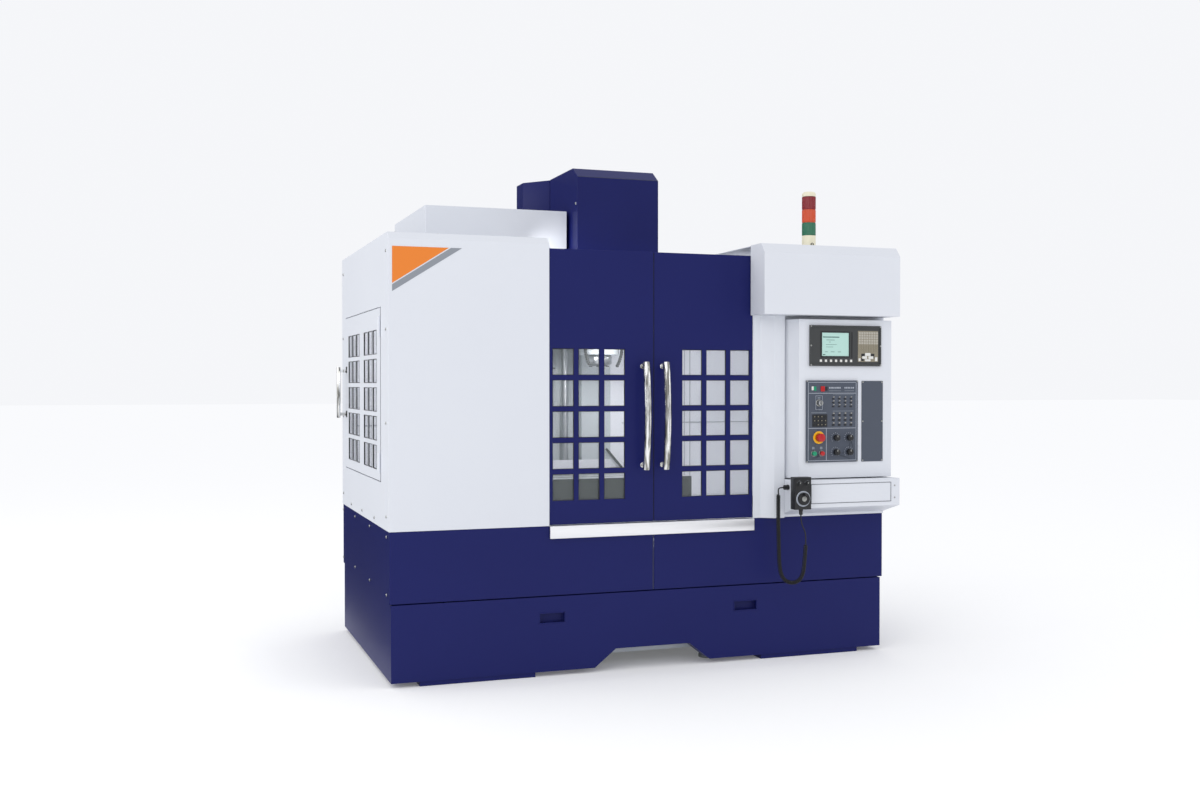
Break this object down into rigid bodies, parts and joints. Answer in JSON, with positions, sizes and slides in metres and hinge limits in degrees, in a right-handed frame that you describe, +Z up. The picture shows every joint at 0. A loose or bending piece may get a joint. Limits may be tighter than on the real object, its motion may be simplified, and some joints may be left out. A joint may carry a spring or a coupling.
{
  "type": "cnc machining center",
  "caption": "Vertical machining center with a full splash guard, sliding front doors, umbrella tool magazine, pull-out coolant tank and a handwheel pendant.",
  "frame": {"origin": "middle of the machine's footprint, on the floor", "axes": "+X to the operator's right, +Y from the front to the back, +Z up"},
  "size_m": [2.581, 2.114, 2.455],
  "materials": {
    "painted_navy": "satin powder coat",
    "painted_white": "satin powder coat",
    "stainless": "brushed",
    "chrome_tube": "polished",
    "clear_pane": "clear",
    "cast_paint": "painted casting",
    "machined_iron": "ground",
    "ground_steel": "ground",
    "motor_black": "satin",
    "bezel_plastic": "moulded",
    "panel_slate": "screen printed",
    "red_plastic": "moulded",
    "green_plastic": "moulded",
    "black_plastic": "moulded",
    "key_metal": "turned",
    "cord_black": "moulded",
    "cream_plastic": "moulded",
    "green_lens": "ribbed lens",
    "amber_lens": "ribbed lens",
    "red_lens": "ribbed lens"
  },
  "bodies": {
    "machine": {"base_casting": "cast_paint", "levelling_feet": "machined_iron", "column": "cast_paint", "base_cover_left": "painted_navy", "base_cover_right": "painted_navy", "left_guard": "painted_white", "right_guard": "painted_white", "hood": "painted_white", "control_box": "painted_white", "shelf": "painted_white", "display_unit": "bezel_plastic", "operator_panel": "panel_slate", "door_header": "painted_navy", "sill": "stainless", "chip_pan": "stainless", "rear_guard": "stainless", "electrical_cabinet": "painted_white", "magazine_cover": "painted_white", "magazine_bracket": "cast_paint", "column_cover": "painted_navy", "tower_base": "cream_plastic", "green_lens": "green_lens", "amber_lens": "amber_lens", "red_lens": "red_lens", "tower_cap": "cream_plastic", "y_screw": "ground_steel", "z_screw": "ground_steel", "pendant": "black_plastic", "cord_gland": "black_plastic", "cord_lead_upper": "cord_black", "cord_curl": "cord_black", "cord_lead_lower": "cord_black"},
    "left_slide_door": {"left_door": "painted_navy", "left_window": "clear_pane", "left_handle": "chrome_tube"},
    "right_slide_door": {"right_door": "painted_navy", "right_window": "clear_pane", "right_handle": "chrome_tube"},
    "service_door": {"side_door": "painted_white", "side_window": "clear_pane", "side_handle": "chrome_tube"},
    "tank": {"coolant_tank": "painted_navy"},
    "saddle_slide": {"saddle": "cast_paint"},
    "table_slide": {"table": "machined_iron"},
    "head_slide": {"head": "cast_paint", "head_cover": "painted_navy", "spindle_motor": "motor_black"},
    "spindle_rotor": {"spindle": "ground_steel"},
    "magazine_slide": {"magazine_carriage": "cast_paint"},
    "carousel": {"magazine_disc": "ground_steel"},
    "cabinet_leaf": {"cabinet_door": "painted_white"},
    "stop_head": {"emergency_stop": "red_plastic"},
    "start_cap": {"start_button": "green_plastic"},
    "hold_cap": {"hold_button": "red_plastic"},
    "knob_1": {"override_knob_1": "black_plastic"},
    "knob_2": {"override_knob_2": "black_plastic"},
    "knob_3": {"override_knob_3": "black_plastic"},
    "knob_4": {"override_knob_4": "black_plastic"},
    "key_barrel": {"key_switch": "key_metal"},
    "handwheel": {"pendant_dial": "black_plastic"}
  },
  "joints": [
    {"name": "left_door_slide", "type": "slide", "parent": "machine", "child": "left_slide_door", "axis": [-1, 0, 0], "range_m": [0, 0.42]},
    {"name": "right_door_slide", "type": "slide", "parent": "machine", "child": "right_slide_door", "axis": [1, 0, 0], "range_m": [0, 0.42]},
    {"name": "side_door_swing", "type": "hinge", "parent": "machine", "child": "service_door", "pos_m": [-1.2428, -0.64, 1.3], "axis": [0, 0, 1], "range_deg": [0, 100]},
    {"name": "tank_pull", "type": "slide", "parent": "machine", "child": "tank", "axis": [0, -1, 0], "range_m": [0, 0.9]},
    {"name": "y_axis", "type": "slide", "parent": "machine", "child": "saddle_slide", "axis": [0, 1, 0], "range_m": [-0.2, 0.2]},
    {"name": "x_axis", "type": "slide", "parent": "saddle_slide", "child": "table_slide", "axis": [1, 0, 0], "range_m": [-0.355, 0.495]},
    {"name": "z_axis", "type": "slide", "parent": "machine", "child": "head_slide", "axis": [0, 0, 1], "range_m": [-0.51, 0]},
    {"name": "spindle_spin", "type": "hinge", "parent": "head_slide", "child": "spindle_rotor", "pos_m": [0.0275, -0.068, 1.5], "axis": [0, 0, 1], "continuous": true},
    {"name": "magazine_travel", "type": "slide", "parent": "machine", "child": "magazine_slide", "axis": [1, 0, 0], "range_m": [0, 0.29]},
    {"name": "carousel_spin", "type": "hinge", "parent": "magazine_slide", "child": "carousel", "pos_m": [-0.5325, -0.068, 1.4], "axis": [0, 0, 1], "continuous": true},
    {"name": "cabinet_door_swing", "type": "hinge", "parent": "machine", "child": "cabinet_leaf", "pos_m": [0.4245, 1.037, 1.2], "axis": [0, 0, 1], "range_deg": [0, 110]},
    {"name": "stop_push", "type": "slide", "parent": "machine", "child": "stop_head", "axis": [0, 1, 0], "range_m": [0, 0.005], "stiffness_N_per_m": 800},
    {"name": "start_push", "type": "slide", "parent": "machine", "child": "start_cap", "axis": [0, 1, 0], "range_m": [0, 0.004], "stiffness_N_per_m": 800},
    {"name": "hold_push", "type": "slide", "parent": "machine", "child": "hold_cap", "axis": [0, 1, 0], "range_m": [0, 0.004], "stiffness_N_per_m": 800},
    {"name": "knob_1_turn", "type": "hinge", "parent": "machine", "child": "knob_1", "pos_m": [0.9525, -0.947, 1.09], "axis": [0, 1, 0], "range_deg": [-120, 120]},
    {"name": "knob_2_turn", "type": "hinge", "parent": "machine", "child": "knob_2", "pos_m": [1.0265, -0.947, 1.09], "axis": [0, 1, 0], "range_deg": [-120, 120]},
    {"name": "knob_3_turn", "type": "hinge", "parent": "machine", "child": "knob_3", "pos_m": [0.9525, -0.947, 1.019], "axis": [0, 1, 0], "range_deg": [-120, 120]},
    {"name": "knob_4_turn", "type": "hinge", "parent": "machine", "child": "knob_4", "pos_m": [1.0265, -0.947, 1.019], "axis": [0, 1, 0], "range_deg": [-120, 120]},
    {"name": "key_turn", "type": "hinge", "parent": "machine", "child": "key_barrel", "pos_m": [0.8595, -0.947, 1.262], "axis": [0, 1, 0], "range_deg": [0, 90]},
    {"name": "handwheel_spin", "type": "hinge", "parent": "machine", "child": "handwheel", "pos_m": [0.7205, -1.045, 0.804], "axis": [0, 1, 0], "continuous": true}
  ]
}
